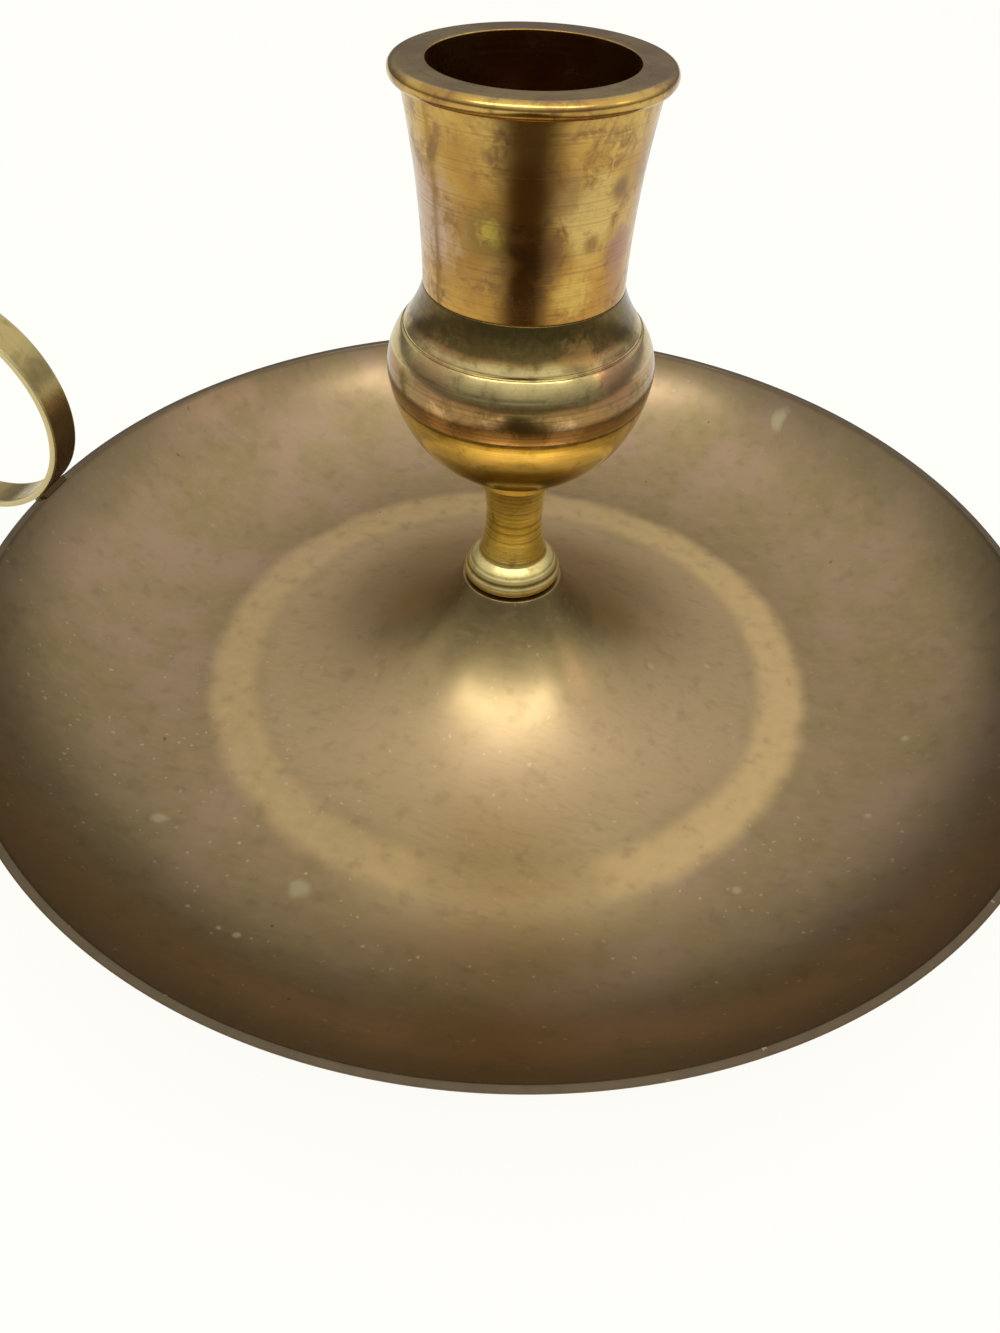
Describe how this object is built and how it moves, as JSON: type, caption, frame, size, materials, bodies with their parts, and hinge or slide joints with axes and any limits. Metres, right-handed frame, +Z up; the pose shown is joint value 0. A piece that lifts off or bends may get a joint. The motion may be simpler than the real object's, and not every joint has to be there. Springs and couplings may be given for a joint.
{
  "type": "chamberstick",
  "caption": "Brass chamberstick: wide shallow drip dish with a raised boss, turned stem and bulb, flared candle socket and a strip finger loop brazed to the rim.",
  "frame": {"origin": "on the candle axis, at the table that the dish stands on", "axes": "+Z up along the candle axis; the finger loop stands over the rim towards -X"},
  "size_m": [0.1846, 0.155, 0.0867],
  "materials": {
    "aged_sheet": "satin brown-gold patina with fine specks",
    "aged_strip": "satin, lighter along the edges",
    "braze": "rough as-brazed fillet",
    "turned_stem": "turned, with fine lathe marks",
    "turned_bowl": "polished deep gold",
    "tarnished_shoulder": "polished with brown and pink tarnish",
    "polished_socket": "polished with blotchy tarnish",
    "fasteners": "plain turned brass"
  },
  "bodies": {
    "root": {"dish": "aged_sheet", "stem": "turned_stem", "bulb_lower": "turned_bowl", "bulb_upper": "tarnished_shoulder", "candle_socket": "polished_socket", "tie_bolt": "fasteners", "washer": "fasteners", "nut": "fasteners", "finger_loop": "aged_strip", "loop_braze": "braze"}
  },
  "joints": []
}
